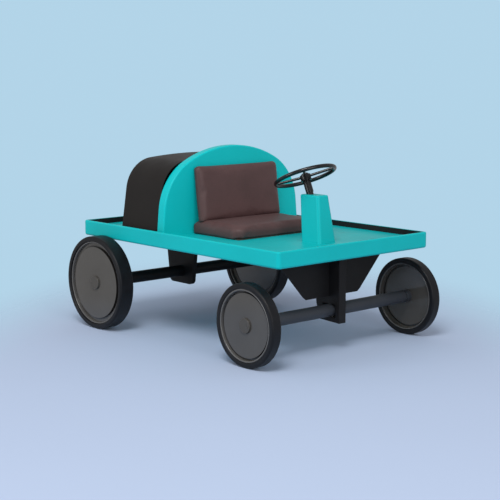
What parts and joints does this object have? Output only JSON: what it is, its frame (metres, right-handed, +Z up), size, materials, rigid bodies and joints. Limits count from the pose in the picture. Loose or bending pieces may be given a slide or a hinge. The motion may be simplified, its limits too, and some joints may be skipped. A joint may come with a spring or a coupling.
{
  "type": "pedal car",
  "caption": "Child's flat-deck pedal car with arched bulkhead, black cowl, padded bench, steering wheel and disc wheels, with foot treadles.",
  "frame": {"origin": "on the ground, in the middle of the car's length and width", "axes": "+X forward along the car's length, +Y to the driver's left, +Z up"},
  "size_m": [1.005, 0.744, 0.5999],
  "materials": {
    "teal_paint": "smooth gloss paint, slightly soft",
    "teal_board": "thick board under the same smooth gloss paint as the deck",
    "cowl_black": "satin black-brown paint",
    "hanger_black": "satin black paint",
    "liner_black": "matt black edging",
    "brown_leather": "soft brown leather",
    "plywood": "sanded plywood",
    "axle_grey": "satin dark grey paint",
    "disc_grey": "smooth grey paint",
    "trim_grey": "rolled bead under smooth grey paint",
    "tyre_rubber": "black rubber with a slight sheen",
    "wheel_gloss": "gloss black plastic",
    "shaft_steel": "ground steel",
    "zinc_steel": "zinc-plated steel",
    "nylon": "natural nylon",
    "belt_rubber": "fabric-backed rubber",
    "tread_rubber": "ribbed black rubber"
  },
  "bodies": {
    "chassis": {"deck_tray": "teal_paint", "rim_liner": "liner_black", "crossmembers": "hanger_black", "arch_panel": "teal_board", "hood_shell": "cowl_black", "hood_rear_panel": "cowl_black", "seat_board": "plywood", "seat_cushion": "brown_leather", "seat_back_pad": "brown_leather", "seat_back_wedge": "plywood", "steering_pedestal": "teal_paint", "column_bushes": "nylon", "front_hanger": "hanger_black", "front_gussets": "hanger_black", "kingpin_bushes": "nylon", "rear_hanger": "hanger_black", "rear_axle_tubes": "hanger_black", "rear_axle_bushes": "nylon", "pedal_pivot_shaft": "shaft_steel", "pedal_brackets": "hanger_black", "pedal_springs": "zinc_steel", "layshaft_bushes": "nylon", "drive_belt": "belt_rubber", "deck_bolts": "zinc_steel"},
    "steering": {"steering_rim": "wheel_gloss", "steering_spokes": "wheel_gloss", "steering_cap": "wheel_gloss", "steering_column": "wheel_gloss", "universal_cross": "shaft_steel"},
    "front_axle": {"kingpin": "shaft_steel", "front_axle_beam": "axle_grey"},
    "front_left_wheel": {"front_left_tyre": "tyre_rubber", "front_left_wheel_disc": "disc_grey", "front_left_trim_ring": "trim_grey", "front_left_hub": "disc_grey"},
    "front_right_wheel": {"front_right_tyre": "tyre_rubber", "front_right_wheel_disc": "disc_grey", "front_right_trim_ring": "trim_grey", "front_right_hub": "disc_grey"},
    "rear_left_wheel": {"rear_left_tyre": "tyre_rubber", "rear_left_wheel_disc": "disc_grey", "rear_left_trim_ring": "trim_grey", "rear_left_hub": "disc_grey"},
    "rear_axle": {"rear_shaft": "shaft_steel", "axle_pulley": "zinc_steel", "rear_right_tyre": "tyre_rubber", "rear_right_wheel_disc": "disc_grey", "rear_right_trim_ring": "trim_grey", "rear_right_hub": "disc_grey"},
    "layshaft": {"layshaft": "shaft_steel", "layshaft_pulley": "zinc_steel"},
    "treadle_left": {"treadle_left": "zinc_steel", "treadle_pad_left": "tread_rubber"},
    "pull_rod_left": {"pull_rod_left": "zinc_steel"},
    "ratchet_pinion_left": {"ratchet_pinion_left": "shaft_steel"},
    "treadle_right": {"treadle_right": "zinc_steel", "treadle_pad_right": "tread_rubber"},
    "pull_rod_right": {"pull_rod_right": "zinc_steel"},
    "ratchet_pinion_right": {"ratchet_pinion_right": "shaft_steel"}
  },
  "joints": [
    {"name": "front_axle_steer", "type": "hinge", "parent": "chassis", "child": "front_axle", "pos_m": [0.379, 0, 0.242], "axis": [0, 0, 1], "range_deg": [-20, 20]},
    {"name": "steering_wheel_turn", "type": "hinge", "parent": "chassis", "child": "steering", "pos_m": [0.379, 0, 0.242], "axis": [-0.3987, 0, 0.9171], "range_deg": [-22, 22]},
    {"name": "front_left_wheel_spin", "type": "hinge", "parent": "front_axle", "child": "front_left_wheel", "pos_m": [0.379, 0.3415, 0.1235], "axis": [0, 1, 0], "continuous": true},
    {"name": "front_right_wheel_spin", "type": "hinge", "parent": "front_axle", "child": "front_right_wheel", "pos_m": [0.379, -0.3415, 0.1235], "axis": [0, 1, 0], "continuous": true},
    {"name": "rear_axle_spin", "type": "hinge", "parent": "chassis", "child": "rear_axle", "pos_m": [-0.35, 0, 0.1525], "axis": [0, 1, 0], "continuous": true},
    {"name": "rear_left_wheel_spin", "type": "hinge", "parent": "chassis", "child": "rear_left_wheel", "pos_m": [-0.35, 0.346, 0.1525], "axis": [0, 1, 0], "continuous": true},
    {"name": "layshaft_spin", "type": "hinge", "parent": "chassis", "child": "layshaft", "pos_m": [-0.305, 0, 0.29], "axis": [0, 1, 0], "continuous": true},
    {"name": "treadle_left_press", "type": "hinge", "parent": "chassis", "child": "treadle_left", "pos_m": [0.388, 0.072, 0.3], "axis": [0, 1, 0], "range_deg": [0, 20], "stiffness_Nm_per_rad": 3, "springref_deg": -20.05},
    {"name": "pull_rod_left_slide", "type": "slide", "parent": "chassis", "child": "pull_rod_left", "axis": [1, 0, 0], "range_m": [0, 0.0057]},
    {"name": "ratchet_pinion_left_turn", "type": "hinge", "parent": "chassis", "child": "ratchet_pinion_left", "pos_m": [-0.305, 0.022, 0.29], "axis": [0, 1, 0], "range_deg": [0, 36]},
    {"name": "treadle_right_press", "type": "hinge", "parent": "chassis", "child": "treadle_right", "pos_m": [0.388, -0.072, 0.3], "axis": [0, 1, 0], "range_deg": [0, 20], "stiffness_Nm_per_rad": 3, "springref_deg": -20.05},
    {"name": "pull_rod_right_slide", "type": "slide", "parent": "chassis", "child": "pull_rod_right", "axis": [1, 0, 0], "range_m": [0, 0.0057]},
    {"name": "ratchet_pinion_right_turn", "type": "hinge", "parent": "chassis", "child": "ratchet_pinion_right", "pos_m": [-0.305, -0.022, 0.29], "axis": [0, 1, 0], "range_deg": [0, 36]}
  ],
  "couplings": [
    {"joint": "steering_wheel_turn", "follows": "front_axle_steer", "ratio": 1.0904},
    {"joint": "layshaft_spin", "follows": "rear_axle_spin", "ratio": 0.6198},
    {"joint": "pull_rod_left_slide", "follows": "treadle_left_press", "m_per_rad": 0.015919},
    {"joint": "ratchet_pinion_left_turn", "follows": "treadle_left_press", "ratio": 1.7688},
    {"joint": "pull_rod_right_slide", "follows": "treadle_right_press", "m_per_rad": 0.015919},
    {"joint": "ratchet_pinion_right_turn", "follows": "treadle_right_press", "ratio": 1.7688}
  ]
}
